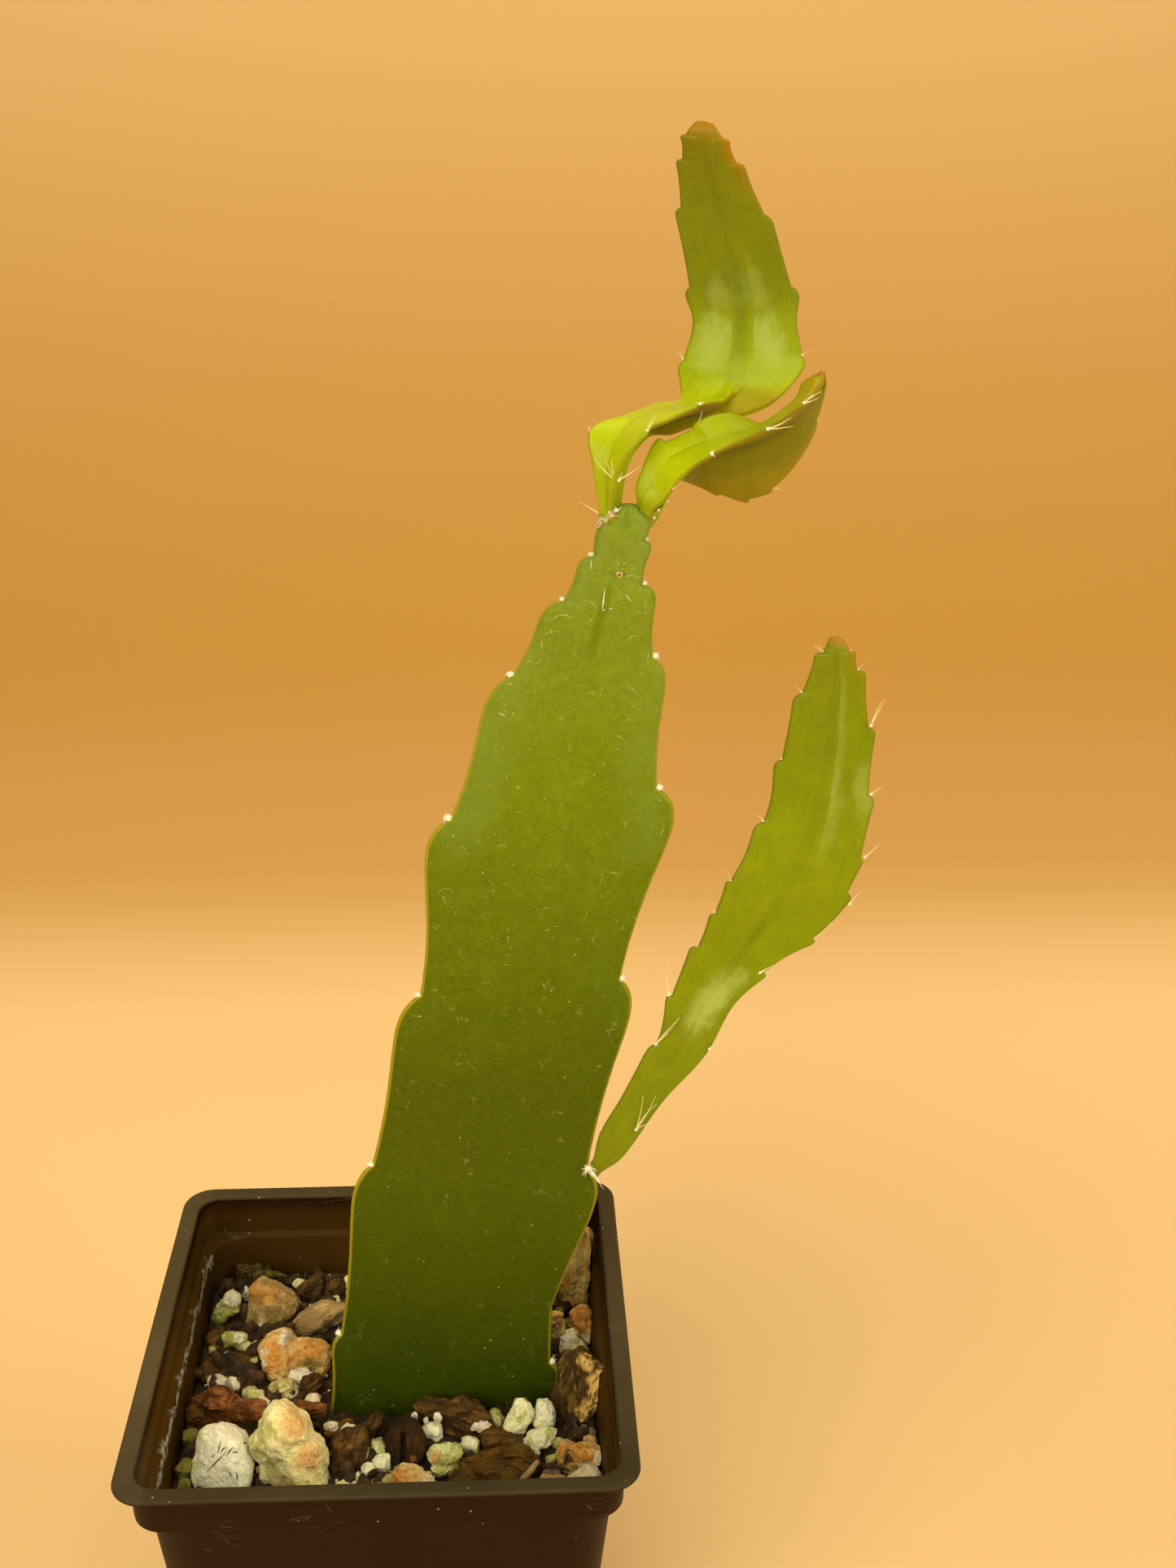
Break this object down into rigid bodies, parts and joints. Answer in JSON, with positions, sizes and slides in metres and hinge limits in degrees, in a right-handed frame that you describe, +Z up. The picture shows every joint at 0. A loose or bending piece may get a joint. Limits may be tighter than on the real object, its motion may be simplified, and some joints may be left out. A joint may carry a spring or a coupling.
{
  "type": "potted orchid cactus",
  "caption": "Young orchid cactus with one flat lobed stem, a toothed side branch and crown shoots, rooted in gritty mix in a square nursery pot.",
  "frame": {"origin": "centre of the pot's underside, on the surface that the pot stands on", "axes": "+Z up along the pot's axis; +X towards the side to which the stem leans and the side branch grows; -Y towards the viewer of the stem's broad face"},
  "size_m": [0.133, 0.0888, 0.3005],
  "materials": {
    "pot_plastic": "dark moulded plastic, faintly dusty",
    "potting_mix": "dark damp bark and peat with grit",
    "old_stem_skin": "waxy dull green skin with pale scars",
    "young_stem_skin": "smooth yellow-green skin",
    "stone_white": "rough white pumice",
    "stone_tan": "rough tan pumice",
    "stone_orange": "rough orange-stained pumice",
    "stone_green": "rough pumice with green algae",
    "bark_red": "red-brown fibrous bark",
    "bark_brown": "dark layered bark",
    "bark_grey": "weathered grey-brown bark"
  },
  "bodies": {
    "root": {"pot": "pot_plastic", "soil": "potting_mix", "main_stem": "old_stem_skin", "side_branch": "young_stem_skin", "crown_shoot_left": "young_stem_skin", "crown_shoot_right": "young_stem_skin", "pumice_white_oval": "stone_white", "pumice_tan_tall": "stone_tan", "pumice_tan_back": "stone_tan", "pumice_orange_left": "stone_orange", "pumice_green_back": "stone_green", "pumice_green_left": "stone_green", "pumice_orange_right": "stone_orange", "pumice_white_right": "stone_tan", "pumice_orange_front": "stone_orange", "pumice_green_front": "stone_green", "pumice_orange_corner": "stone_orange", "pumice_pale_corner": "stone_white", "perlite_front_left": "stone_white", "perlite_front_right": "stone_white", "perlite_front_low": "stone_white", "bark_red_chip": "bark_red", "bark_grey_flat": "bark_grey", "bark_square": "bark_brown", "bark_bean": "bark_brown", "bark_strip": "bark_brown", "bark_front_chip": "bark_brown", "bark_textured": "bark_grey", "bark_upright": "bark_red"}
  },
  "joints": []
}
